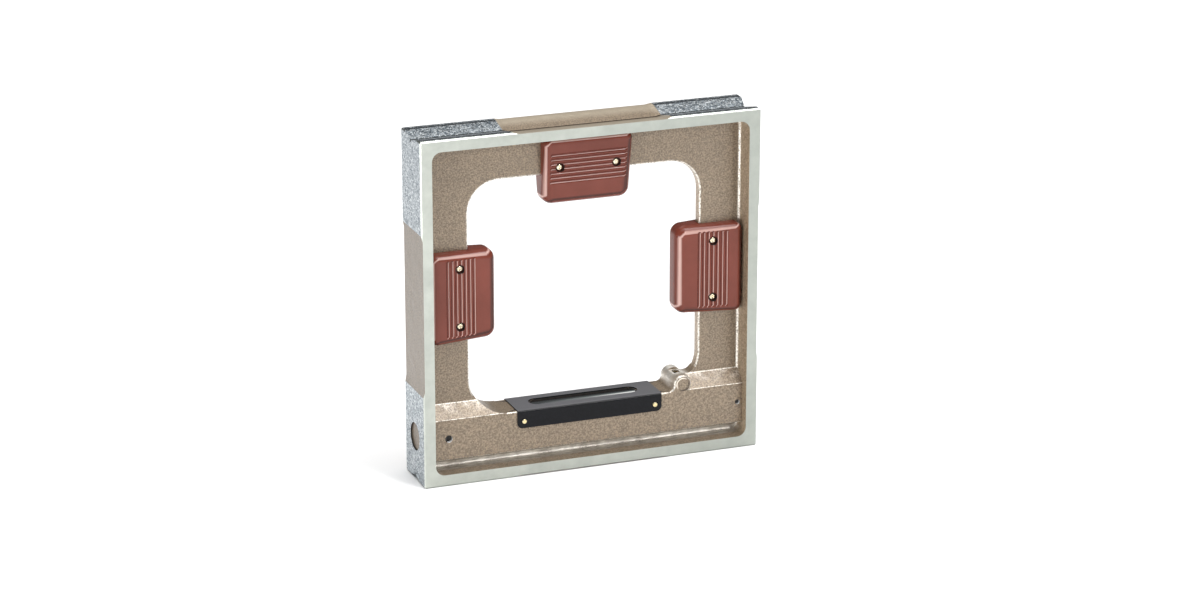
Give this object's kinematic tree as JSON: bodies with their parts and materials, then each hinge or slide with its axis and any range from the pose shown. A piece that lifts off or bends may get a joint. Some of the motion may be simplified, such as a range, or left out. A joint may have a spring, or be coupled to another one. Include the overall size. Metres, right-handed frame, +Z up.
{
  "type": "precision square frame level",
  "caption": "Square cast-iron frame level with scraped flat and vee measuring faces, a covered main vial in its lower beam, a cross vial and moulded heat-insulating grips.",
  "frame": {"origin": "middle of the base: centre of the frame from side to side and from front to back, on the lower measuring face", "axes": "+Z up, +X to the right seen from the front, -Y towards the front, where the access holes of the vial are"},
  "size_m": [0.3, 0.05, 0.3],
  "materials": {
    "painted_cast_iron": "hammered taupe enamel on cast iron, with ground and scraped bare faces",
    "brass": "turned",
    "vial_glass": "clear",
    "vial_liquid": "clear, faintly green",
    "plaster": "set plaster",
    "steel": "turned",
    "sight_glass": "clear, polished",
    "black_sheet": "black anodised, satin",
    "brass_screws": "bright",
    "grip_plastic": "moulded red-brown phenolic",
    "nickel_screws": "nickel plated"
  },
  "bodies": {
    "root": {"frame": "painted_cast_iron", "bore_plug_left": "painted_cast_iron", "bore_plug_right": "painted_cast_iron", "vial_tube": "brass", "main_vial": "vial_glass", "main_vial_liquid": "vial_liquid", "vial_bedding": "plaster", "adjusting_end": "brass", "pivot_end": "brass", "adjusting_screw": "steel", "pivot_pin": "steel", "sight_glass": "sight_glass", "vial_cover": "black_sheet", "cover_screws": "brass_screws", "cross_vial_tube": "brass", "cross_vial": "vial_glass", "cross_vial_liquid": "vial_liquid", "cross_vial_bedding": "plaster", "cross_cap_front": "painted_cast_iron", "cross_cap_rear": "painted_cast_iron", "grip_left_front": "grip_plastic", "grip_left_rear": "grip_plastic", "grip_right_front": "grip_plastic", "grip_right_rear": "grip_plastic", "grip_top_front": "grip_plastic", "grip_top_rear": "grip_plastic", "grip_screws": "nickel_screws"}
  },
  "joints": []
}
